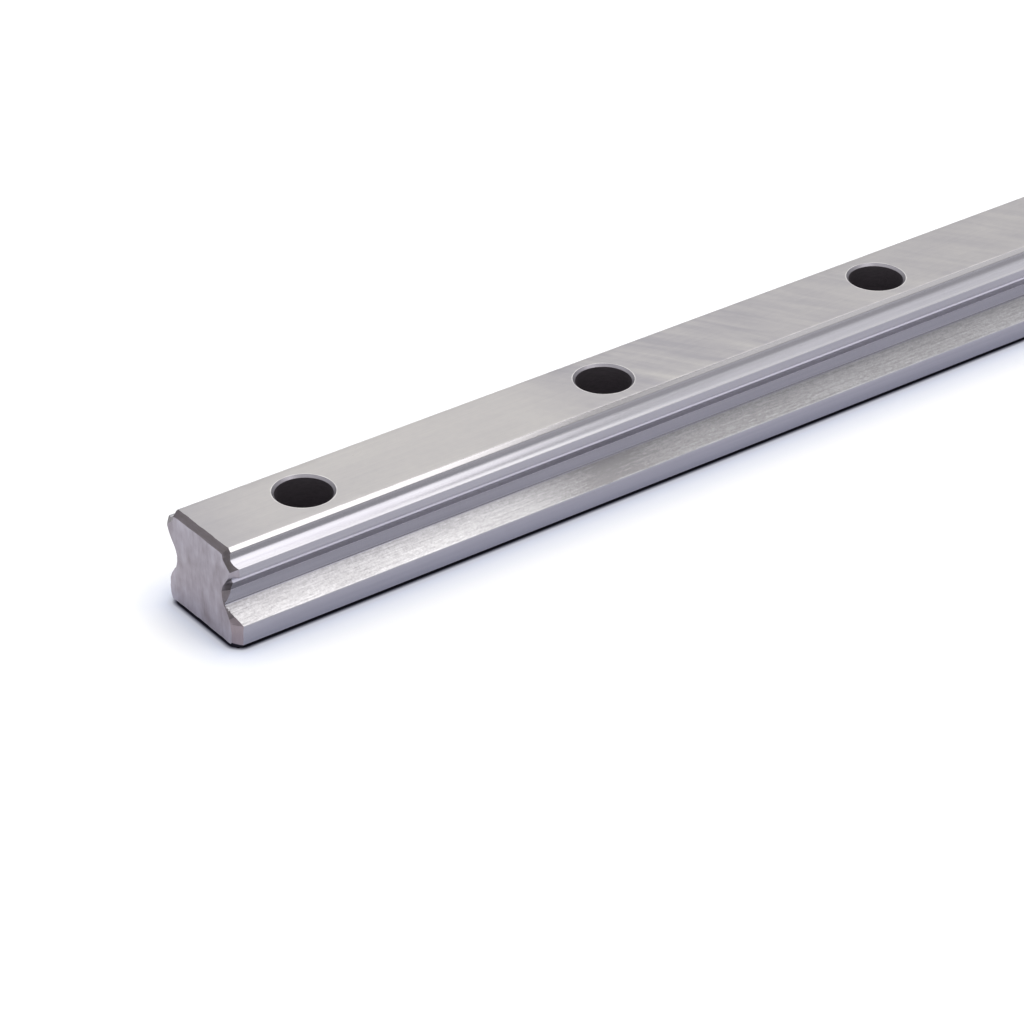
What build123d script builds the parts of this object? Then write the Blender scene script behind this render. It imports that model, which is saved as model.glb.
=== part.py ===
from build123d import *
import os

# Profiled linear guide rail of the 20 mm size, all sizes in mm.
# +X runs along the rail, +Y across it, +Z up; the origin is the middle of the base face.

# Length and screw holes
hole_count = 7
hole_pitch = 60.0
end_distance = 20.0  # from the end face to the nearest hole's axis
screw_hole_diameter = 6.0
counterbore_diameter = 9.5
counterbore_depth = 8.5
mouth_chamfer = 0.42  # round each counterbore's mouth
foot_chamfer = 0.4  # where each screw hole leaves the base

# Section
rail_width = 20.0  # over the base, and over the ridge between the raceways
rail_height = 17.5
top_width = 14.3
top_chamfer = 0.6
ridge_top = 15.05
ridge_bottom = 13.4
lower_mouth_width = 15.6  # over the inner corners of the lower raceways' mouths
lower_mouth_height = 11.3
waist_width = 13.7
waist_top = 9.6
waist_bottom = 7.4
waist_fillet = 0.5  # in the corner between waist and flank
base_side_height = 4.35
base_chamfer = 0.95

# Ball raceways, each an arc sunk below the straight line across its mouth
raceway_radius = 1.6
upper_raceway_depth = 1.0
lower_raceway_depth = 0.55

# Bevel ground round both end faces
end_bevel_depth = 1.1  # along the rail
end_bevel_inset = 0.9  # into the end face

rail_length = 2 * end_distance + (hole_count - 1) * hole_pitch
half_width = rail_width / 2
ridge_low = (half_width, ridge_bottom)
ridge_high = (half_width, ridge_top)
lower_mouth = (lower_mouth_width / 2, lower_mouth_height)
upper_mouth = (top_width / 2 + top_chamfer, rail_height - top_chamfer)
waist_foot = (waist_width / 2, waist_bottom)


def raceway_centre(start, end, depth):
    # Out from the middle of the mouth line, on the right of start to end.
    run = Vector(*end) - Vector(*start)
    outward = Vector(run.Y, -run.X).normalized()
    middle = (Vector(*start) + Vector(*end)) / 2
    return middle + outward * (raceway_radius - depth)


with BuildPart() as guide_rail:
    # The bar: half an outline, mirrored across the rail's middle plane.
    with BuildSketch(Plane.YZ.offset(-rail_length / 2)) as section:
        with BuildLine():
            Polyline(
                (0, 0),
                (half_width - base_chamfer, 0),
                (half_width, base_chamfer),
                (half_width, base_side_height),
                waist_foot,
                (waist_width / 2, waist_top),
                lower_mouth,
                ridge_low,
                ridge_high,
                upper_mouth,
                (top_width / 2, rail_height),
                (0, rail_height),
            )
            mirror(about=Plane.YZ)
        make_face()
        fillet(section.vertices().filter_by_position(Axis.Y, waist_bottom, waist_bottom), waist_fillet)
    extrude(amount=rail_length)

    # Bevels round both end faces.
    end_faces = guide_rail.faces().filter_by(Axis.X)
    chamfer(end_faces.edges(), length=end_bevel_depth, length2=end_bevel_inset)

    # Four raceways, cut from end to end and so through the bevels too.
    with BuildSketch(Plane.YZ.offset(-rail_length / 2)) as raceways:
        for centre in (
            raceway_centre(ridge_high, upper_mouth, upper_raceway_depth),
            raceway_centre(lower_mouth, ridge_low, lower_raceway_depth),
        ):
            with Locations((centre.X, centre.Y), (-centre.X, centre.Y)):
                Circle(raceway_radius)
    extrude(amount=rail_length, mode=Mode.SUBTRACT)

    # Counterbored screw holes in one row along the top, with broken edges at both mouths.
    with Locations(Plane.XY.offset(rail_height)):
        with GridLocations(hole_pitch, 0, hole_count, 1):
            CounterBoreHole(screw_hole_diameter / 2, counterbore_diameter / 2, counterbore_depth)
    rims = guide_rail.edges().filter_by(GeomType.CIRCLE).group_by(Axis.Z)
    chamfer(rims[-1], length=mouth_chamfer)
    chamfer(rims[0], length=foot_chamfer)

guide_rail.part.label = "guide_rail"

os.makedirs("parts", exist_ok=True)
export_step(guide_rail.part, "parts/guide_rail.step")
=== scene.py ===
from math import radians

import bmesh
import bpy
import numpy as np
from mathutils.geometry import delaunay_2d_cdt
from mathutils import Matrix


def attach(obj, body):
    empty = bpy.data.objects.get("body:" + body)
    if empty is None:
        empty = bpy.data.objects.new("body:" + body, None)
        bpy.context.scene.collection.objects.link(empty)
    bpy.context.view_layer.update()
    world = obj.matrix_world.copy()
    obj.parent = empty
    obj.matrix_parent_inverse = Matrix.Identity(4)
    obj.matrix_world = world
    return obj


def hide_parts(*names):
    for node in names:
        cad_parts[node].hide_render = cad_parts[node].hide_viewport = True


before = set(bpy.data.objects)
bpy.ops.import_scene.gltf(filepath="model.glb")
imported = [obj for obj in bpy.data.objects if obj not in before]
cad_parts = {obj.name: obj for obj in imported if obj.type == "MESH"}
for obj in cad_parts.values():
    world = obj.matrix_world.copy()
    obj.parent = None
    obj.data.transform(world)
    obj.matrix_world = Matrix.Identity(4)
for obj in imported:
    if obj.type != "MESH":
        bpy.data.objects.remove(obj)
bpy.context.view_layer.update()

mm = 0.001  # sizes below are millimetres, as in the part's source, and meshes are metres
perMm = 1000.0  # turns a count per millimetre into a texture scale on Object coordinates


# Rail: the section, its end bevels and its holes

rail = {
    "length": 400.0,
    "width": 20.0,
    "height": 17.5,
    "holes": 7,
    "pitch": 60.0,
    "boreRadius": 4.75,
    "boreDepth": 8.5,
    "throughRadius": 3.0,
    "mouthBreak": 0.42,  # chamfer round each counterbore's mouth
    "footBreak": 0.4,
    "shelfCorner": 0.25,  # bevel that the tool's corner leaves round the bottom of a counterbore
    "shelfBreak": 0.2,  # broken edge where the through hole starts
    "boreRings": [14.6, 12.0],  # heights of rings that only keep the faces of a bore short
    "throughRing": 4.5,
    "edgeBreak": 0.05,  # how far each long edge is eased to either side
    "edgeSteps": 3,
    "hollowReach": 7.1,  # corners nearer the middle than this are hollow, so nothing rubs them and they get no painted highlight
    "topKept": 0.1,  # added to the top's gap to its long edges, which get less rubbing and painted highlight than the holes' rims
    "farGap": 3.0,  # stands for a gap too wide to show any rubbing and its painted highlight
    "squareSteps": 20,  # faces along each side of the square round a hole
    "gapSteps": 3,  # faces along the rail between two squares
    "bevelReach": 2.4,  # everything ground off the ends lies within this
    "bevelRings": [0.0, 0.3, 0.6, 0.85, 1.0],  # shares of the way from the outline to the flat end
    "bevelCrown": 0.07,  # how far the bevel bows in, as a share of its depth
    "bevelFade": 1.5,  # the depth below a raceway's chord at which the end's bevel runs out
    "leastBevel": 0.04,
    "wander": 0.035,  # unevenness of the hand grinding, as a share of the bevel
    "tornPlace": 2.78,  # where the flank's upper edge is torn, counted as in endTable
    "tornReach": 0.26,
    "tornDepth": 0.12,
    "endLattice": 1.1,  # spacing of the points inside the flat end, and where they lie across and up
    "latticeSpan": [(-9, 9), (1, 17)],
    "latticeMargin": 0.4,
    "weldGap": 0.003,
    "sharpAngle": 14,  # in degrees; edges that turn more stay sharp
}

finishes = [
    "top", "topEdge", "raceway", "side", "relief", "flank", "footEdge", "foot", "bevel", "corner", "cutEnd",
    "mouth", "bore",
]

# Half the section from the base up: where each run ends (y, z), how it bends (shares of its length with the
# way its surface faces there, in degrees over the horizontal; None for a straight run), the steps along it
# and its finish.
sectionStart = (9.05, 0.0)
sectionRuns = [
    ((10.0, 0.95), None, 2, "footEdge"),
    ((10.0, 4.35), None, 6, "side"),
    ((7.002, 7.253), None, 44, "flank"),
    ((6.85, 7.612), [(0, 45.9), (1, 0)], 6, "side"),
    ((6.85, 9.6), None, 6, "side"),
    ((7.8, 11.3), None, 4, "relief"),
    ((8.027, 11.517), None, 1, "relief"),
    ((9.76, 13.28), [(0, 2.7), (1, -95)], 16, "relief"),
    ((10.0, 13.4), None, 1, "side"),
    ((10.0, 15.02), None, 9, "side"),
    ((7.73, 16.92), [(0, 80), (0.35, 66), (0.55, 52), (0.68, 38), (0.76, 27), (1, 19)], 26, "raceway"),
    ((7.15, 17.5), None, 3, "topEdge"),
]

# The grinding round the ends, from the middle of the base (-1) along the runs of the section (0 to 12) to the
# middle of the top (13): the place, how deep the bevel goes along the rail, and where it runs out on the end.
endTable = np.array([
    (-1.0, 0.90, 0.00, 0.98),
    (0.0, 0.90, 8.35, 0.86),
    (1.0, 1.26, 8.66, 1.30),
    (1.5, 1.42, 8.84, 3.00),
    (2.0, 1.57, 8.62, 4.60),
    (2.39, 0.95, 8.43, 5.09),
    (2.58, 0.62, 8.06, 5.80),
    (2.75, 0.35, 7.65, 6.40),
    (2.88, 0.15, 7.30, 6.84),
    (3.0, 0.16, 6.92, 7.17),
    (4.0, 0.30, 6.72, 7.72),
    (4.18, 0.70, 6.60, 8.05),
    (4.6, 1.14, 6.41, 8.80),
    (5.0, 1.35, 6.39, 9.66),
    (5.5, 1.25, 6.72, 10.62),
    (6.0, 1.20, 7.19, 11.33),
    (7.0, 1.15, 7.36, 11.53),
    (7.5, 1.12, 8.05, 12.39),
    (8.0, 1.10, 8.55, 13.30),
    (9.0, 1.10, 8.85, 13.95),
    (10.0, 1.10, 8.98, 14.24),
    (11.0, 1.10, 7.12, 15.87),
    (12.0, 1.10, 6.98, 16.62),
    (12.16, 1.10, 6.03, 16.76),
    (13.0, 1.10, 0.00, 16.85),
])
# The finish of the ends' bevels, from each place on to the next, and a shift of the hand's waver at the near
# end (-1) and the far one (1), so that the two differ.
endBands = [(-1.0, "footEdge"), (1.0, "corner"), (2.45, "bevel"), (7.5, "cutEnd"), (10.0, "bevel")]
endTurns = {-1: 0.0, 1: 5.0}


def runPoints(start, end, bend, steps, ease):
    # A straight run is start + t·(end − start). A bent one is the running sum of short steps at right angles
    # to the way it faces, read from its list, laid from start to end by turning and scaling it. Both stop
    # short of their corners by ease.
    chord = complex(*end) - complex(*start)
    share = ease / abs(chord)
    t = np.linspace(share, 1 - share, steps + 1)
    if bend is None:
        place = complex(*start) + t * chord
    else:
        fine = np.linspace(0, 1, 401)
        path = np.exp(1j * np.radians(np.interp(fine, *np.array(bend).T) + 90))
        path = np.concatenate([[0], np.cumsum((path[1:] + path[:-1]) / 2)])
        path = path / path[-1]
        place = complex(*start) + chord * (np.interp(t, fine, path.real) + 1j * np.interp(t, fine, path.imag))
    return np.stack([place.real, place.imag], 1)


def halfSection():
    # The runs in order, each corner between two of them replaced by the curve
    # (1 − t)²·a + 2t(1 − t)·corner + t²·b, where a and b are the nearest points of the runs.
    # With each point go its place (the run's number + t) and, in a raceway, how far it lies below the chord.
    ease = rail["edgeBreak"]
    corners = np.array([sectionStart] + [run[0] for run in sectionRuns])
    t = np.linspace(0, 1, rail["edgeSteps"] + 1)[:, None]
    points, places, sunk, zones = [corners[:1] - [ease, 0]], [np.zeros(1)], [np.zeros(1)], []
    for index, (end, bend, steps, finish) in enumerate(sectionRuns):
        run = runPoints(corners[index], end, bend, steps, ease)
        chord = corners[index + 1] - corners[index]
        size = np.hypot(*chord)
        below = (run - corners[index]) @ np.array([-chord[1], chord[0]]) / size
        isRaceway = bend is not None and finish != "side"
        share = ease / size
        eased = (1 - t) ** 2 * points[-1][-1] + 2 * t * (1 - t) * corners[index] + t**2 * run[0]
        easedPlaces = np.linspace(places[-1][-1], index + share, len(t))[1:-1]
        points += [eased[1:-1], run]
        places += [easedPlaces, index + np.linspace(share, 1 - share, steps + 1)]
        sunk += [np.zeros(len(t) - 2), np.clip(below, 0, None) * isRaceway]
        zones += [finishes.index(finish)] * (rail["edgeSteps"] + steps)
    eased = (1 - t) ** 2 * points[-1][-1] + 2 * t * (1 - t) * corners[-1] + t**2 * (corners[-1] - [ease, 0])
    points.append(eased[1:])
    places.append(np.linspace(places[-1][-1], len(sectionRuns), len(t))[1:])
    sunk.append(np.zeros(len(t) - 1))
    zones += [zones[-1]] * rail["edgeSteps"]
    return np.concatenate(points), np.concatenate(places), np.concatenate(sunk), np.array(zones)


def handWaver(points, turn):
    # A slow uneven wave over the end, for a bevel ground by hand: three sines, each quicker and weaker.
    y, z = points[:, 0] + turn, points[:, 1]
    slow = np.sin(1.1 * y + 0.9 * z) + 0.6 * np.sin(2.7 * y - 2.1 * z + 1.3)
    return slow + 0.3 * np.sin(6.1 * z + 4.3 * y + 0.4)


def groundDepth(points, places, sunk, turn):
    # Depth ground off: the table's depth · (1 − sunk ÷ fade) · (1 + wander · wave). At the flank's upper edge
    # the metal is torn, so two quick sines are added there.
    depth = np.interp(places, endTable[:, 0], endTable[:, 1]) * (1 - sunk / rail["bevelFade"])
    depth = depth * (1 + rail["wander"] * handWaver(points, turn))
    torn = np.clip(1 - np.abs(places - rail["tornPlace"]) / rail["tornReach"], 0, 1)
    rough = rail["tornDepth"] * (1 + 4 / 3 * np.sin(97 * places + turn) + np.sin(231 * places + 1.1))
    return np.clip(depth + torn * rough, rail["leastBevel"], None)


def gridFaces(rows, columns, wrap=False):
    # Quads of a rows × columns grid of vertices: each joins two neighbours in a row to the next row's two.
    number = np.arange(rows * columns).reshape(rows, columns)
    if wrap:
        number = np.concatenate([number, number[:, :1]], 1)
    quads = [number[:-1, :-1], number[:-1, 1:], number[1:, 1:], number[1:, :-1]]
    return np.stack(quads, -1).reshape(-1, 4)


holeX = (np.arange(rail["holes"]) - (rail["holes"] - 1) / 2) * rail["pitch"]
halfLength, halfWidth = rail["length"] / 2, rail["width"] / 2
section, sectionPlaces, sectionSunk, sectionZones = halfSection()
sharpCorners = np.array([sectionStart] + [run[0] for run in sectionRuns if run[0][0] > rail["hollowReach"]])
topHalf, footHalf = section[-1, 0], section[0, 0]
topPlace, footPlace = float(len(sectionRuns)), 0.0
patchHalf = topHalf  # the square round a hole is as long as the top is wide
shelf = rail["height"] - rail["boreDepth"]


def stationsAlong():
    # Places along the rail: even steps across each hole's square, a few in each gap, one behind each bevel.
    steps, gaps = rail["squareSteps"], rail["gapSteps"]
    squares = holeX[:, None] + np.linspace(-patchHalf, patchHalf, steps + 1)
    between = squares[:-1, -1:] + np.linspace(0, 1, gaps + 1)[1:-1] * (squares[1:, :1] - squares[:-1, -1:])
    ends = halfLength - rail["bevelReach"]
    return np.concatenate([[-ends], np.sort(np.concatenate([squares.ravel(), between.ravel()])), [ends]])


stations = stationsAlong()
parts = []  # each is (vertices, faces as quads or triangles, finish of every face, gap to the nearest edge)


def addPart(vertices, faces, zones, gaps):
    faces = np.asarray(faces)
    vertices = np.asarray(vertices, float).reshape(-1, 3)
    parts.append((vertices, faces, np.broadcast_to(zones, len(faces)), np.broadcast_to(gaps, len(vertices))))


def sweptStrip(side):
    # Half the section carried along x: straight between the stations, and at both ends out to the edge of the
    # bevel, halfLength − groundDepth. The gap to an edge is the least distance to a long corner.
    outline = section * [side, 1]
    near = -halfLength + groundDepth(outline, sectionPlaces, sectionSunk, endTurns[-1])
    far = halfLength - groundDepth(outline, sectionPlaces, sectionSunk, endTurns[1])
    x = np.concatenate([near[None], np.repeat(stations[:, None], len(outline), 1), far[None]])
    y, z = np.broadcast_to(outline[:, 0], x.shape), np.broadcast_to(outline[:, 1], x.shape)
    gap = np.broadcast_to(np.linalg.norm(section[:, None] - sharpCorners, axis=2).min(1), x.shape)
    addPart(np.stack([x, y, z], -1), gridFaces(*x.shape), np.tile(sectionZones, len(x) - 1), gap.ravel())


def squareBorder(halfX, halfY, steps):
    # Anticlockwise round a rectangle from its near right corner: each side is cut into even steps.
    t = np.linspace(-1, 1, steps + 1)[:-1]
    one = np.ones(steps)
    return np.stack([
        np.concatenate([one, -t, -one, t]) * halfX, np.concatenate([t, one, -t, -one]) * halfY,
    ], 1)


def holeRings():
    # Rings from the top's square border in to the mouth, down the bore and out to the base's border. A ring
    # is a circle of radius r at height z, or a blend of it and the border: border + s·(circle − border).
    steps = rail["squareSteps"]
    topBorder = squareBorder(patchHalf, topHalf, steps)
    footBorder = squareBorder(patchHalf, footHalf, steps)
    circle = topBorder / np.linalg.norm(topBorder, axis=1)[:, None]
    high, bore, through = rail["height"], rail["boreRadius"], rail["throughRadius"]
    mouth, foot = bore + rail["mouthBreak"], through + rail["footBreak"]
    blend = np.array([0.0, 0.5, 0.85, 1.0])[:, None, None]
    topFlat = topBorder + blend * (mouth * circle - topBorder)
    footFlat = footBorder + blend[::-1] * (foot * circle - footBorder)
    corner, edge = rail["shelfCorner"], rail["shelfBreak"]
    turned = [(bore, high - rail["mouthBreak"])] + [(bore, z) for z in rail["boreRings"]]
    turned += [
        (bore, shelf + corner), (bore - corner, shelf), (through + edge, shelf), (through, shelf - edge),
    ]
    turned += [(through, rail["throughRing"]), (through, rail["footBreak"])]
    wall = np.array([r for r, _ in turned])[:, None, None] * circle
    flat = np.concatenate([topFlat, wall, footFlat])
    heights = np.array([high] * 4 + [z for _, z in turned] + [0.0] * 4)
    zones = ["top"] * 3 + ["mouth"] + ["bore"] * 9 + ["foot"] * 3
    z = np.broadcast_to(heights[:, None], flat.shape[:2])
    return np.concatenate([flat, z[..., None]], 2), np.array([finishes.index(name) for name in zones])


def addHoles():
    # The same rings at every hole. On top the gap is the lesser of those to the mouth and to a long edge.
    rings, zones = holeRings()
    rows, columns = rings.shape[:2]
    faces, faceZones = gridFaces(rows, columns, wrap=True), np.repeat(zones, columns)
    reach = np.linalg.norm(rings[..., :2], axis=2)
    rim = np.abs(reach - rail["boreRadius"] - rail["mouthBreak"])
    side = topHalf - np.abs(rings[..., 1]) + rail["topKept"]
    gap = np.where(rings[..., 2] > shelf, np.minimum(rim, side), rail["farGap"])
    for x in holeX:
        addPart(rings + [x, 0, 0], faces, faceZones, gap.ravel())


def addFlats(half, z, corner, finish):
    # The flat strips of top and base between the holes' squares: a grid on their stations and the square's
    # steps. A point's place goes one run past the section's last corner, in step with its distance from the
    # edge.
    across = np.linspace(-half, half, rail["squareSteps"] + 1)
    line = np.stack([across, np.full_like(across, z)], 1)
    place = corner + np.where(corner > 0, 1, -1) * (1 - np.abs(across) / half)
    near = -halfLength + groundDepth(line, place, np.zeros_like(across), endTurns[-1])
    far = halfLength - groundDepth(line, place, np.zeros_like(across), endTurns[1])
    limits = np.concatenate([[-halfLength], holeX - patchHalf, holeX + patchHalf, [halfLength]])
    limits = np.sort(limits).reshape(-1, 2)
    for low, high in limits:
        inside = stations[(stations > low - 1e-6) & (stations < high + 1e-6)]
        x = np.repeat(inside[:, None], len(across), 1)
        if low == -halfLength:
            x = np.concatenate([near[None], x])
        if high == halfLength:
            x = np.concatenate([x, far[None]])
        y = np.broadcast_to(across, x.shape)
        gap = half - np.abs(y) + rail["topKept"]
        vertices = np.stack([x, y, np.full_like(x, z)], -1)
        addPart(vertices, gridFaces(*x.shape), finishes.index(finish), gap.ravel())


def fullOutline():
    # The whole section anticlockwise from the base's right edge, with each point's place and sunk distance.
    steps = rail["squareSteps"]
    across = np.linspace(topHalf, -topHalf, steps + 1)[1:-1]
    under = np.linspace(-footHalf, footHalf, steps + 1)[1:-1]
    outline = np.concatenate([
        section, np.stack([across, np.full_like(across, rail["height"])], 1),
        section[::-1] * [-1, 1], np.stack([under, np.zeros_like(under)], 1),
    ])
    places = np.concatenate([
        sectionPlaces, topPlace + 1 - np.abs(across) / topHalf,
        sectionPlaces[::-1], footPlace - 1 + np.abs(under) / footHalf,
    ])
    none = np.zeros(steps - 1)
    return outline, places, np.concatenate([sectionSunk, none, sectionSunk[::-1], none])


def addEnds():
    # Rings from the outline in to the contour, outline + t·(contour − outline), each at the depth
    # groundDepth · (1 − t − crown·sin πt). The contour wavers too. The flat end inside is cut into triangles.
    outline, places, sunk = fullOutline()
    count = len(outline)
    share = np.array(rail["bevelRings"])[:, None]
    ramp = 1 - share - rail["bevelCrown"] * np.sin(np.pi * share)
    middle = (places + np.roll(places, -1)) / 2
    band = np.searchsorted([start for start, _ in endBands], middle, side="right") - 1
    zones = np.array([finishes.index(name) for _, name in endBands])[band]
    for side, turn in endTurns.items():
        contour = np.stack([
            np.interp(places, endTable[:, 0], endTable[:, 2]) * np.sign(outline[:, 0]),
            np.interp(places, endTable[:, 0], endTable[:, 3]),
        ], 1)
        reach = (contour - outline) * (1 + rail["wander"] * handWaver(outline, turn + 2.0))[:, None]
        flat = outline + share[:, :, None] * reach
        depth = groundDepth(outline, places, sunk, turn) * ramp
        depth[-1] = 0
        x = side * (halfLength - depth)
        gap = (1 - share) * np.linalg.norm(reach, axis=1)
        addPart(np.concatenate([x[..., None], flat], 2), gridFaces(*x.shape, wrap=True),
                np.tile(zones, len(x) - 1), gap.ravel())

        inner = flat[-1]
        y, z = np.meshgrid(*[np.arange(*span, rail["endLattice"]) for span in rail["latticeSpan"]])
        cloud = np.stack([y.ravel(), z.ravel()], 1)
        cloud = cloud[insideOutline(cloud, inner)]
        cloud = cloud[gapToOutline(cloud, inner) > rail["latticeMargin"]]
        ring = np.stack([np.arange(count), (np.arange(count) + 1) % count], 1)
        points = np.concatenate([inner, cloud]).tolist()
        made = delaunay_2d_cdt(points, ring.tolist(), [list(range(count))], 1, 1e-6)
        flat = np.array(made[0])
        vertices = np.concatenate([np.full((len(flat), 1), side * halfLength), flat], 1)
        addPart(vertices, made[2], finishes.index("cutEnd"), gapToOutline(flat, inner))


def insideOutline(points, outline):
    # A point is inside where a line from it to the right crosses the outline an odd number of times.
    y, z = points[:, 0, None], points[:, 1, None]
    start, end = outline, np.roll(outline, -1, 0)
    spans = (start[:, 1] > z) != (end[:, 1] > z)
    rise = np.where(end[:, 1] == start[:, 1], 1, end[:, 1] - start[:, 1])
    meets = start[:, 0] + (z - start[:, 1]) / rise * (end[:, 0] - start[:, 0])
    return (spans & (meets > y)).sum(1) % 2 == 1


def gapToOutline(points, outline):
    # Distance from each point to the nearest piece of the outline.
    start, along = outline, np.roll(outline, -1, 0) - outline
    here = points[:, None, :]
    t = np.clip(((here - start) * along).sum(2) / np.maximum((along**2).sum(1), 1e-12), 0, 1)
    return np.linalg.norm(here - start - t[..., None] * along, axis=2).min(1)


def buildRail():
    # All parts in one mesh in metres, with their seams welded and their faces turned outwards.
    sweptStrip(1)
    sweptStrip(-1)
    addFlats(topHalf, rail["height"], topPlace, "top")
    addFlats(footHalf, 0.0, footPlace, "foot")
    addHoles()
    addEnds()
    vertices = np.concatenate([part[0] for part in parts]) * mm
    offsets = np.cumsum([0] + [len(part[0]) for part in parts[:-1]])
    faces = [face for part, offset in zip(parts, offsets) for face in (part[1] + offset).tolist()]
    mesh = bpy.data.meshes.new("railBody")
    mesh.from_pydata(vertices.tolist(), [], faces)
    mesh.polygons.foreach_set("material_index", np.concatenate([part[2] for part in parts]).astype(np.int32))
    gaps = mesh.attributes.new("edgeGap", "FLOAT", "POINT")  # in mm, for the rubbed edges and their painted highlight
    gaps.data.foreach_set("value", np.concatenate([part[3] for part in parts]).astype(np.float32))
    joined = bmesh.new()
    joined.from_mesh(mesh)
    bmesh.ops.remove_doubles(joined, verts=joined.verts, dist=rail["weldGap"] * mm)
    bmesh.ops.dissolve_degenerate(joined, dist=1e-7, edges=joined.edges)
    bmesh.ops.recalc_face_normals(joined, faces=joined.faces)
    print("railBody open edges:", sum(not edge.is_manifold for edge in joined.edges))
    joined.to_mesh(mesh)
    joined.free()
    mesh.polygons.foreach_set("use_smooth", np.ones(len(mesh.polygons), bool))
    mesh.set_sharp_from_angle(angle=radians(rail["sharpAngle"]))
    body = bpy.data.objects.new("railBody", mesh)
    bpy.context.scene.collection.objects.link(body)
    return body


railBody = buildRail()
print("rail made:", len(railBody.data.polygons), "faces")


# Finishes

def hexToLinear(code):
    # sRGB hex to linear light: value ÷ 12.92 near black, else ((value + 0.055) ÷ 1.055) to the power 2.4.
    value = np.array([int(code[start:start + 2], 16) for start in (1, 3, 5)]) / 255
    linear = np.where(value <= 0.04045, value / 12.92, ((value + 0.055) / 1.055) ** 2.4)
    return (*linear.tolist(), 1.0)


def addNode(tree, kind, settings={}, inputs={}, stops=()):
    # Settings are the node's own fields, inputs are numbers or links, and stops fill a colour ramp.
    node = tree.nodes.new(kind)
    for name, value in settings.items():
        setattr(node, name, value)
    for _ in stops[2:]:
        node.color_ramp.elements.new(1.0)
    for index, (position, colour) in enumerate(stops):
        node.color_ramp.elements[index].position = position
        node.color_ramp.elements[index].color = colour
    for socket, value in inputs.items():
        if isinstance(value, bpy.types.NodeSocket):
            tree.links.new(value, node.inputs[socket])
        else:
            node.inputs[socket].default_value = value
    return node


def newMaterial(name):
    material = bpy.data.materials.new(name)
    material.use_nodes = True
    material.node_tree.nodes.clear()
    return material, material.node_tree


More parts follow.
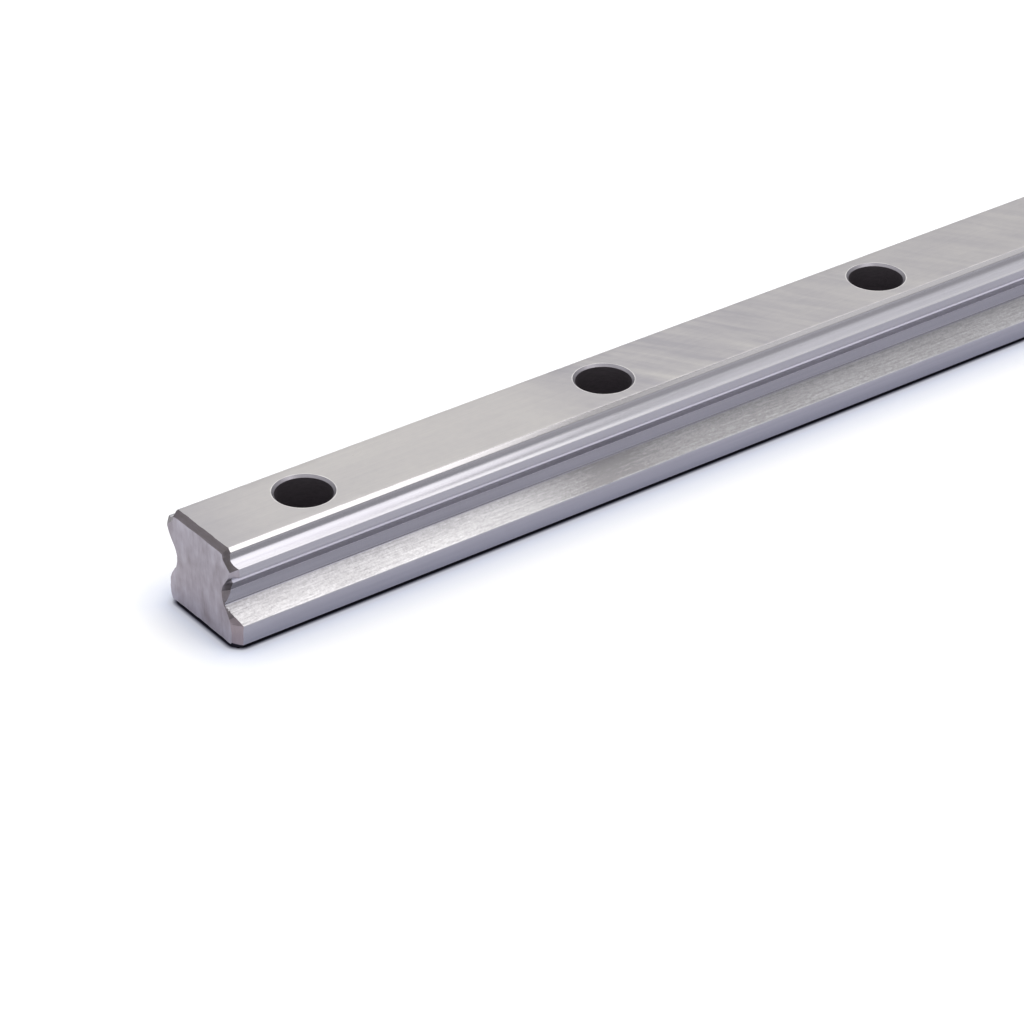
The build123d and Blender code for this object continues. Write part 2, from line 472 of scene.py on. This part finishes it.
def layeredSteel(look):
    # tone = ½ + Σ weight·shown·(noise − level), one noise for each layer of marks, and the relief is
    # Σ height·shown·(noise − level), in mm. Tone mixes the dark colour into the light one and moves the
    # roughness.
    material, tree = newMaterial(look["name"])
    place = addNode(tree, "ShaderNodeTexCoord").outputs["Object"]
    axes = addNode(tree, "ShaderNodeSeparateXYZ", {}, {"Vector": place}).outputs
    tone, relief = 0.5, 0.0
    for layer in look["layers"]:
        field = addNode(tree, "ShaderNodeMapping", {"vector_type": "TEXTURE"}, {
            "Vector": place, "Rotation": (0, 0, radians(layer.get("turn", 0))),
            "Scale": [size * mm for size in layer["size"]],
        })
        noise = addNode(tree, "ShaderNodeTexNoise", {}, {
            "Vector": field.outputs["Vector"], "Scale": 1.0, "Detail": layer.get("detail", 2.0),
            "Distortion": layer.get("swirl", 0.0),
        })
        marks = addNode(tree, "ShaderNodeMath", {"operation": "SUBTRACT"}, {
            0: noise.outputs["Fac"], 1: layer.get("level", 0.5),
        }).outputs[0]
        if "patches" in layer:
            along = addNode(tree, "ShaderNodeMapRange", {}, {
                "Value": axes["X"], "From Min": -halfLength * mm, "From Max": halfLength * mm,
            })
            shown = addNode(tree, "ShaderNodeValToRGB", {}, {"Fac": along.outputs["Result"]}, [
                ((x + halfLength) / rail["length"], (amount, amount, amount, 1))
                for x, amount in layer["patches"]
            ])
            marks = addNode(tree, "ShaderNodeMath", {"operation": "MULTIPLY"}, {
                0: marks, 1: shown.outputs["Color"],
            }).outputs[0]
        tone = addNode(tree, "ShaderNodeMath", {"operation": "MULTIPLY_ADD"}, {
            0: marks, 1: layer["tone"], 2: tone,
        }).outputs[0]
        relief = addNode(tree, "ShaderNodeMath", {"operation": "MULTIPLY_ADD"}, {
            0: marks, 1: layer["height"], 2: relief,
        }).outputs[0]
    colour = addNode(tree, "ShaderNodeMix", {"data_type": "RGBA"}, {
        0: tone, 6: hexToLinear(look["dark"]), 7: hexToLinear(look["light"]),
    }).outputs[2]

    if "across" in look:  # painted shade from one edge of the strip to the other, start to end in y and z
        (startY, startZ), (endY, endZ), stops = look["across"]
        run = np.array([endY - startY, endZ - startZ]) * mm
        run = run / (run @ run)
        width = addNode(tree, "ShaderNodeMath", {"operation": "ABSOLUTE"}, {0: axes["Y"]})
        share = addNode(tree, "ShaderNodeMath", {"operation": "MULTIPLY_ADD"}, {
            0: width.outputs[0], 1: float(run[0]), 2: float(-run @ [startY, startZ] * mm),
        })
        share = addNode(tree, "ShaderNodeMath", {"operation": "MULTIPLY_ADD"}, {
            0: axes["Z"], 1: float(run[1]), 2: share.outputs[0],
        })
        paintedShade = addNode(tree, "ShaderNodeValToRGB", {}, {"Fac": share.outputs[0]}, [
            (position, hexToLinear(code)) for position, code in stops
        ])
        colour = addNode(tree, "ShaderNodeMix", {"data_type": "RGBA", "blend_type": "MULTIPLY"}, {
            0: 1.0, 6: colour, 7: paintedShade.outputs["Color"],
        }).outputs[2]

    if "wornAndGlint" in look:  # edges rubbed bright and given a painted highlight, unevenly, over about a third of a millimetre
        gap = addNode(tree, "ShaderNodeAttribute", {"attribute_name": "edgeGap"}).outputs["Fac"]
        uneven = addNode(tree, "ShaderNodeTexNoise", {}, {
            "Vector": place, "Scale": perMm / rubbedAndGlint["patch"], "Detail": 3.0,
        })
        gap = addNode(tree, "ShaderNodeMath", {"operation": "MULTIPLY_ADD"}, {
            0: uneven.outputs["Fac"], 1: rubbedAndGlint["uneven"], 2: gap,
        })
        wearAndGlint = addNode(tree, "ShaderNodeMapRange", {"interpolation_type": "SMOOTHSTEP"}, {
            "Value": gap.outputs[0], "From Min": rubbedAndGlint["full"], "From Max": rubbedAndGlint["none"],
            "To Min": look.get("wornAndGlintAmount", rubbedAndGlint["amount"]), "To Max": 0.0,
        })
        colour = addNode(tree, "ShaderNodeMix", {"data_type": "RGBA"}, {
            0: wearAndGlint.outputs["Result"], 6: colour, 7: hexToLinear(look["wornAndGlint"]),
        }).outputs[2]

    rough = addNode(tree, "ShaderNodeMapRange", {}, {
        "Value": tone, "To Min": look["roughness"][1], "To Max": look["roughness"][0],
    })
    bump = addNode(tree, "ShaderNodeBump", {}, {"Height": relief, "Distance": mm, "Strength": 1.0})
    shader = addNode(tree, "ShaderNodeBsdfPrincipled", {}, {
        "Base Color": colour, "Metallic": 1.0, "Roughness": rough.outputs["Result"],
        "Normal": bump.outputs["Normal"],
    })
    if "edgeTint" in look:
        shader.inputs["Specular Tint"].default_value = hexToLinear(look["edgeTint"])
    addNode(tree, "ShaderNodeOutputMaterial", {}, {"Surface": shader.outputs["BSDF"]})
    return material


# How edges are rubbed and given a painted highlight: the size of the uneven patches, and how much they shift
# the gap from an edge at which both start to fade and the one where they are gone, all in mm, then their
# strength.
rubbedAndGlint = {"patch": 2.5, "uneven": 0.35, "full": 0.12, "none": 0.42, "amount": 0.6}

# Each look has layers of marks: their size in mm along, across and up, their weight in the tone and their
# height. They may be turned about the upright, swirled, finer in detail, and shown more at some x in mm than
# at others. The level is what counts as no mark, and one of 1.5 darkens throughout; those layers are painted
# shade, darker where they are shown more. Other entries paint shade across a strip, name the colour of rubbed
# edges and their painted highlight, or tint what the metal reflects at a glancing angle.
# Real grinding lines are some 0.02 mm apart, too fine to show in the render, so they are drawn at about
# 0.3 mm.
looks = {
    # Top: surface-ground satin, a warm grey with faint clouds and slanting wipe marks beyond the second hole.
    "top": {
        "name": "surfaceGroundTop", "dark": "#AFACB1", "light": "#E0DCD6", "roughness": (0.24, 0.32),
        # Rubbed rims and long edges, with a painted highlight along them.
        "wornAndGlint": "#FAF8F6", "wornAndGlintAmount": 0.9,
        "layers": [
            {"size": (30, 0.35, 0.35), "tone": 0.2, "height": 0.0006},
            {"size": (22, 9, 9), "tone": 0.3, "height": 0.0, "detail": 3.0},
            {"size": (1.6, 1.1, 1.1), "tone": 0.15, "height": 0.0003},
            {
                "size": (20, 2.4, 2.4), "turn": -56, "swirl": 0.6, "tone": 1.1, "height": 0.001,
                "detail": 4.0, "level": 0.64, "patches": [
                    (-200, 0.3), (-190, 0.0), (-136, 0.0), (-120, 1.0), (-100, 1.0), (-84, 0.8), (-60, 0.5),
                    (-34, 0.5), (20, 0.4), (55, 0.8), (90, 0.3), (150, 0.6), (200, 0.4),
                ],
            },
            # Painted shade: the top is darker at its near end and between about x = −124 and −72 mm, less so
            # further on.
            {
                "size": (30, 10, 10), "tone": 0.25, "height": 0.0, "level": 1.5, "patches": [
                    (-200, 1.1), (-184, 0.4), (-166, 0.1), (-138, 0.1), (-124, 0.9), (-102, 0.6), (-72, 0.7),
                    (200, 0.25),
                ],
            },
        ],
    },
    # Broken edge between top and raceway: ground with them and polished by wiping.
    "topEdge": {
        "name": "polishedTopEdge", "dark": "#B4B1B4", "light": "#C5C3C6", "roughness": (0.13, 0.18),
        "layers": [{"size": (40, 0.3, 0.3), "tone": 0.3, "height": 0.00012}],
    },
    # Raceway: profile-ground and superfinished, almost a mirror, with fine bright lines along it; painted
    # shade makes it a little darker along its middle and towards the near end.
    "raceway": {
        "name": "superfinishedRaceway", "dark": "#A09EA6", "light": "#D5D4D8", "roughness": (0.17, 0.23),
        "across": ((10.0, 15.02), (7.73, 16.92), [
            (0.0, "#FFFFFF"), (0.12, "#FAFAFA"), (0.3, "#F2F2F4"), (0.45, "#F4F4F6"), (0.66, "#F0F0F2"),
            (0.8, "#FCFBFF"), (1.0, "#FCFBFF"),
        ]),
        "layers": [
            {"size": (60, 0.28, 0.28), "tone": 0.3, "height": 0.0003},
            {"size": (9, 2, 2), "tone": 0.15, "height": 0.0001},
            # Painted shade towards the near end, gone by x = −135 mm.
            {
                "size": (30, 4, 4), "tone": 0.5, "height": 0.0, "level": 1.5, "patches": [
                    (-200, 0.45), (-170, 0.3), (-150, 0.08), (-135, 0.0), (200, 0.0),
                ],
            },
        ],
    },
    # Ridge, waist and base sides: profile-ground and cooler than the top; painted shade across their height
    # makes them darker round the waist, along the ridge's lower edge and low on the base.
    "side": {
        "name": "profileGroundSide", "dark": "#B1AFB9", "light": "#CCCAD4", "roughness": (0.2, 0.28),
        "wornAndGlint": "#BEBCC4", "wornAndGlintAmount": 0.25, "edgeTint": "#504E56",
        "across": ((0, 0), (0, 17.5), [
            (0.054, "#CACACC"), (0.25, "#D6D6D9"), (0.42, "#BABABE"), (0.54, "#BABABE"),
            (0.768, "#BDBCC1"), (0.79, "#CECED0"), (0.86, "#CCCCCE"),
        ]),
        "layers": [
            {"size": (45, 0.35, 0.35), "tone": 0.6, "height": 0.0006},
            {"size": (14, 3, 3), "tone": 0.35, "height": 0.0},
        ],
    },
    # Lower raceway and the relief below it: ground and never rubbed, so duller, with thin oil's violet tint.
    "relief": {
        "name": "groundRelief", "dark": "#B2AFBC", "light": "#CDCAD6", "roughness": (0.3, 0.4),
        "layers": [{"size": (45, 0.35, 0.35), "tone": 0.6, "height": 0.0006}],
    },
    # Flank: coarser grinding left as it was, silvery broken lines along the rail, duller in places; painted
    # shade darkens it towards its upper edge, at the near end, around x = −126 mm and a little along the
    # rest.
    "flank": {
        "name": "coarseGroundFlank", "dark": "#949295", "light": "#D3D2D5", "roughness": (0.17, 0.25),
        "wornAndGlint": "#DEDDE2",
        "across": ((10.0, 4.35), (7.0, 7.25), [
            (0.0, "#FFFFFF"), (0.35, "#F6F6F6"), (0.7, "#E4E4E5"), (1.0, "#C8C8CB"),
        ]),
        "layers": [
            {"size": (12, 0.26, 0.26), "tone": 0.55, "height": 0.0006},
            {"size": (1.4, 0.26, 0.26), "tone": 0.65, "height": 0.0008},
            {"size": (0.32, 0.32, 0.32), "tone": 0.6, "height": 0.0006},
            {"size": (16, 6, 6), "tone": 0.3, "height": 0.0},
            # Painted shade along the rail, strongest at the near end and around x = −126 mm.
            {
                "size": (12, 4, 4), "tone": 0.35, "height": 0.0, "level": 1.5, "patches": [
                    (-200, 0.7), (-180, 0.45), (-158, 0.0), (-142, 0.0), (-126, 1.7), (-110, 0.5), (-60, 0.3),
                    (200, 0.3),
                ],
            },
        ],
    },
    # Foot chamfer: unground; its near-black colour is painted shade, the dark line where the base meets the
    # floor.
    "footEdge": {
        "name": "footEdgePaintedShade", "dark": "#26252D", "light": "#3E3C46", "roughness": (0.55, 0.65),
        "edgeTint": "#1A1920",
        "layers": [{"size": (6, 1.2, 1.2), "tone": 0.8, "height": 0.002}],
    },
    # Base: ground flat as the mounting face.
    "foot": {
        "name": "groundMountingFace", "dark": "#9A989E", "light": "#B8B6BB", "roughness": (0.25, 0.33),
        "layers": [
            {"size": (35, 0.4, 0.4), "tone": 0.8, "height": 0.0008},
            {"size": (20, 8, 8), "tone": 0.4, "height": 0.0},
        ],
    },
    # End bevels: run round by hand on a coarse wheel and uneven; their dark brownish grey is partly painted
    # shade, most of all in the recess below the ridge.
    "bevel": {
        "name": "handGroundBevelAndShade", "dark": "#5E5856", "light": "#78727A", "roughness": (0.32, 0.42),
        "wornAndGlint": "#8C868C", "wornAndGlintAmount": 0.35,
        "layers": [
            {"size": (0.3, 2.4, 0.3), "tone": 0.7, "height": 0.004},
            {"size": (1.4, 1.2, 1.2), "tone": 0.6, "height": 0.006},
        ],
    },
    # Base corners: the same wheel, held lighter, with a warm tint.
    "corner": {
        "name": "softGroundCorner", "dark": "#7F747A", "light": "#9C9299", "roughness": (0.3, 0.4),
        "layers": [
            {"size": (1.2, 1.2, 3.5), "tone": 0.7, "height": 0.003},
            {"size": (0.3, 0.3, 2.0), "tone": 0.3, "height": 0.002},
        ],
    },
    # Cut end: parted with an abrasive wheel, matt, with soft upright streaks and purplish and warm tints.
    "cutEnd": {
        "name": "abrasiveCutEnd", "dark": "#8B8287", "light": "#BCB8C2", "roughness": (0.34, 0.44),
        # Painted shade up the end: a little darker from the bottom to about two thirds of its height, lighter
        # at the top.
        "across": ((0, 0.9), (0, 16.9), [
            (0.0, "#F6F4F4"), (0.35, "#ECEAEC"), (0.7, "#E6E5E8"), (1.0, "#EEEEF1"),
        ]),
        "layers": [
            {"size": (1, 1.8, 5.0), "tone": 0.9, "height": 0.0015, "detail": 4.0},
            {"size": (1, 0.5, 2.0), "tone": 0.4, "height": 0.002},
            {"size": (1, 3.2, 3.8), "tone": 1.0, "height": 0.0, "detail": 3.0},
        ],
    },
    # Broken rim of the counterbore: turned with a countersink, a plain matt grey with fine rings.
    "mouth": {
        "name": "turnedRim", "dark": "#86838A", "light": "#A5A2A9", "roughness": (0.38, 0.46),
        "layers": [{"size": (1.5, 1.5, 0.2), "tone": 0.8, "height": 0.0008}],
    },
    # Bore: drilled, and dark with heat scale.
    "bore": {
        "name": "scaledBore", "dark": "#6E696F", "light": "#968F96", "roughness": (0.45, 0.6),
        "layers": [{"size": (1.2, 1.2, 0.35), "tone": 0.9, "height": 0.004}],
    },
}
for name in finishes:
    railBody.data.materials.append(layeredSteel(looks[name]))

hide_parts("guide_rail")
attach(railBody, "root")
print("finishes set")


# Studio

studio = {
    "floorColour": "#F4F5F7",
    "floorGlow": 0.12,  # what the camera and mirrors see added to the floor, so that it runs out to white
    "floorHalf": 6.0,
    "floorDrop": 0.02,  # mm that the floor lies below the base, so that the two faces don't mix
    "paintedShade": [  # painted shadow of the rail: gap to the rail in mm, and what is left of the floor's colour there
        (-1.0, "#1F1E28"), (-0.62, "#282733"), (-0.3, "#9C9CAB"), (0.17, "#E5E7F1"), (1.2, "#ECF0FB"),
        (3.0, "#F6F8FF"), (7.0, "#FFFFFF"),
    ],
    "shadeStart": -1.0,  # the gaps in mm between which the painted shadow is worked out
    "shadeReach": 9.0,
    "shadePastEnds": 0.3,  # mm by which the painted shadow's outline passes the rail's ends
    "shadeCorner": (1.3, 0.8),  # how far its corners are cut and softened
    # Sine of the height over the horizon, and the sky's strength there.
    "sky": [(0.0, 0.55), (0.24, 0.54), (0.42, 0.68), (0.56, 0.96), (0.64, 1.0), (0.8, 1.12)],
    "skyTilt": 0.1,  # the dim band along the horizon is higher in front and lower at the back
    # Each soft box: its name, place and size in metres, turn in degrees, power in watts and colour.
    "boxes": [
        ("frontBox", (0.089, -0.27, 0.64), (0.38, 0.84), 13, 1.42, "#FFFDFA"),
        ("backBox", (0.1, 0.285, 0.64), (0.38, 0.26), 0, 0.33, "#FFFDFA"),
    ],
    # A dark strip beside the front box, in the same order.
    "flag": ("boxEdge", (0.302, -0.221, 0.645), (0.055, 0.84), 13),
    "flagColour": "#2A2A2C",
    "cameraPlace": (-0.4636, -0.4345, 0.3310),
    "cameraDown": 31.509,  # degrees below level
    "cameraTurn": -36.765,
    "cameraLens": 134.82,
}


def makeFloor():
    half = studio["floorHalf"]
    mesh = bpy.data.meshes.new("floor")
    corner = np.array([[-1, -1], [1, -1], [1, 1], [-1, 1]]) * half
    mesh.from_pydata([(x, y, -studio["floorDrop"] * mm) for x, y in corner.tolist()], [], [(0, 1, 2, 3)])
    floor = bpy.data.objects.new("floor", mesh)
    bpy.context.scene.collection.objects.link(floor)
    material, tree = newMaterial("paleTable")
    # The painted shadow follows the gap to the rail, max(|x| − half its length, |y| − half its width), which
    # at a corner is blended with (|x| gap + |y| gap) ÷ √2 + the cut.
    place = addNode(tree, "ShaderNodeTexCoord").outputs["Object"]
    axes = addNode(tree, "ShaderNodeSeparateXYZ", {}, {"Vector": place}).outputs
    along = addNode(tree, "ShaderNodeMath", {"operation": "ABSOLUTE"}, {0: axes["X"]})
    along = addNode(tree, "ShaderNodeMath", {"operation": "SUBTRACT"}, {
        0: along.outputs[0], 1: (halfLength + studio["shadePastEnds"]) * mm,
    })
    across = addNode(tree, "ShaderNodeMath", {"operation": "ABSOLUTE"}, {0: axes["Y"]})
    across = addNode(tree, "ShaderNodeMath", {"operation": "SUBTRACT"}, {
        0: across.outputs[0], 1: halfWidth * mm,
    })
    gap = addNode(tree, "ShaderNodeMath", {"operation": "MAXIMUM"}, {
        0: along.outputs[0], 1: across.outputs[0],
    })
    slant = addNode(tree, "ShaderNodeMath", {"operation": "ADD"}, {0: along.outputs[0], 1: across.outputs[0]})
    cut, soft = studio["shadeCorner"]
    slant = addNode(tree, "ShaderNodeMath", {"operation": "MULTIPLY_ADD"}, {
        0: slant.outputs[0], 1: 0.5**0.5, 2: cut * mm,
    })
    gap = addNode(tree, "ShaderNodeMath", {"operation": "SMOOTH_MAX"}, {
        0: gap.outputs[0], 1: slant.outputs[0], 2: soft * mm,
    })
    start, reach = studio["shadeStart"], studio["shadeReach"]
    gap = addNode(tree, "ShaderNodeMapRange", {}, {
        "Value": gap.outputs[0], "From Min": start * mm, "From Max": reach * mm,
    })
    paintedShade = addNode(tree, "ShaderNodeValToRGB", {}, {"Fac": gap.outputs["Result"]}, [
        ((distance - start) / (reach - start), hexToLinear(code)) for distance, code in studio["paintedShade"]
    ])
    colour = addNode(tree, "ShaderNodeMix", {"data_type": "RGBA", "blend_type": "MULTIPLY"}, {
        0: 1.0, 6: hexToLinear(studio["floorColour"]), 7: paintedShade.outputs["Color"],
    })
    shader = addNode(tree, "ShaderNodeBsdfDiffuse", {}, {"Color": colour.outputs[2]})
    ray = addNode(tree, "ShaderNodeLightPath").outputs
    seen = addNode(tree, "ShaderNodeMath", {"operation": "MAXIMUM"}, {
        0: ray["Is Camera Ray"], 1: ray["Is Glossy Ray"],
    })
    glow = addNode(tree, "ShaderNodeMath", {"operation": "MULTIPLY"}, {
        0: seen.outputs[0], 1: studio["floorGlow"],
    })
    # The glow is dimmed by the same painted shadow.
    glow = addNode(tree, "ShaderNodeEmission", {}, {
        "Color": paintedShade.outputs["Color"], "Strength": glow.outputs[0],
    })
    both = addNode(tree, "ShaderNodeAddShader", {}, {0: shader.outputs["BSDF"], 1: glow.outputs["Emission"]})
    addNode(tree, "ShaderNodeOutputMaterial", {}, {"Surface": both.outputs["Shader"]})
    mesh.materials.append(material)


def makeSky():
    # The strength follows z + tilt·y of the direction looked in.
    world = bpy.data.worlds.new("studioSky")
    world.use_nodes = True
    tree = world.node_tree
    tree.nodes.clear()
    where = addNode(tree, "ShaderNodeTexCoord")
    split = addNode(tree, "ShaderNodeSeparateXYZ", {}, {"Vector": where.outputs["Generated"]})
    height = addNode(tree, "ShaderNodeMath", {"operation": "MULTIPLY_ADD"}, {
        0: split.outputs["Y"], 1: studio["skyTilt"], 2: split.outputs["Z"],
    })
    level = addNode(tree, "ShaderNodeValToRGB", {}, {"Fac": height.outputs[0]}, [
        (sine, (strength, strength, strength, 1)) for sine, strength in studio["sky"]
    ])
    sky = addNode(tree, "ShaderNodeBackground", {}, {"Color": level.outputs["Color"], "Strength": 1.0})
    addNode(tree, "ShaderNodeOutputWorld", {}, {"Surface": sky.outputs["Background"]})
    bpy.context.scene.world = world


def makeSoftBox(name, place, size, turn, power, colour):
    # A soft box faces straight down and is turned about the upright axis.
    lamp = bpy.data.lights.new(name, "AREA")
    lamp.shape, lamp.size, lamp.size_y = "RECTANGLE", size[0], size[1]
    lamp.energy, lamp.color = power, hexToLinear(colour)[:3]
    holder = bpy.data.objects.new(name, lamp)
    holder.location, holder.rotation_euler = place, (0, 0, radians(turn))
    bpy.context.scene.collection.objects.link(holder)


def makeFlag(name, place, size, turn):
    # A dark strip beside a lamp ends its reflection on the rail and leaves a darker one after it.
    corner = np.array([-1 - 1j, 1 - 1j, 1 + 1j, -1 + 1j]) / 2
    corner = (corner.real * size[0] + 1j * corner.imag * size[1]) * np.exp(1j * radians(turn))
    mesh = bpy.data.meshes.new(name)
    mesh.from_pydata(
        [(c.real + place[0], c.imag + place[1], place[2]) for c in corner.tolist()], [], [(0, 1, 2, 3)],
    )
    flag = bpy.data.objects.new(name, mesh)
    bpy.context.scene.collection.objects.link(flag)
    material, tree = newMaterial("blackCloth")
    shader = addNode(tree, "ShaderNodeBsdfDiffuse", {}, {"Color": hexToLinear(studio["flagColour"])})
    addNode(tree, "ShaderNodeOutputMaterial", {}, {"Surface": shader.outputs["BSDF"]})
    mesh.materials.append(material)


def makeCamera():
    camera = bpy.data.cameras.new("camera")
    camera.sensor_width, camera.lens = 36, studio["cameraLens"]
    camera.clip_start, camera.clip_end = 0.01, 50
    holder = bpy.data.objects.new("camera", camera)
    holder.location = studio["cameraPlace"]
    holder.rotation_euler = (radians(90 - studio["cameraDown"]), 0, radians(studio["cameraTurn"]))
    bpy.context.scene.collection.objects.link(holder)
    bpy.context.scene.camera = holder


makeFloor()
makeSky()
for box in studio["boxes"]:
    makeSoftBox(*box)
makeFlag(*studio["flag"])
makeCamera()
bpy.context.scene.view_settings.view_transform = "Standard"
print("studio made")
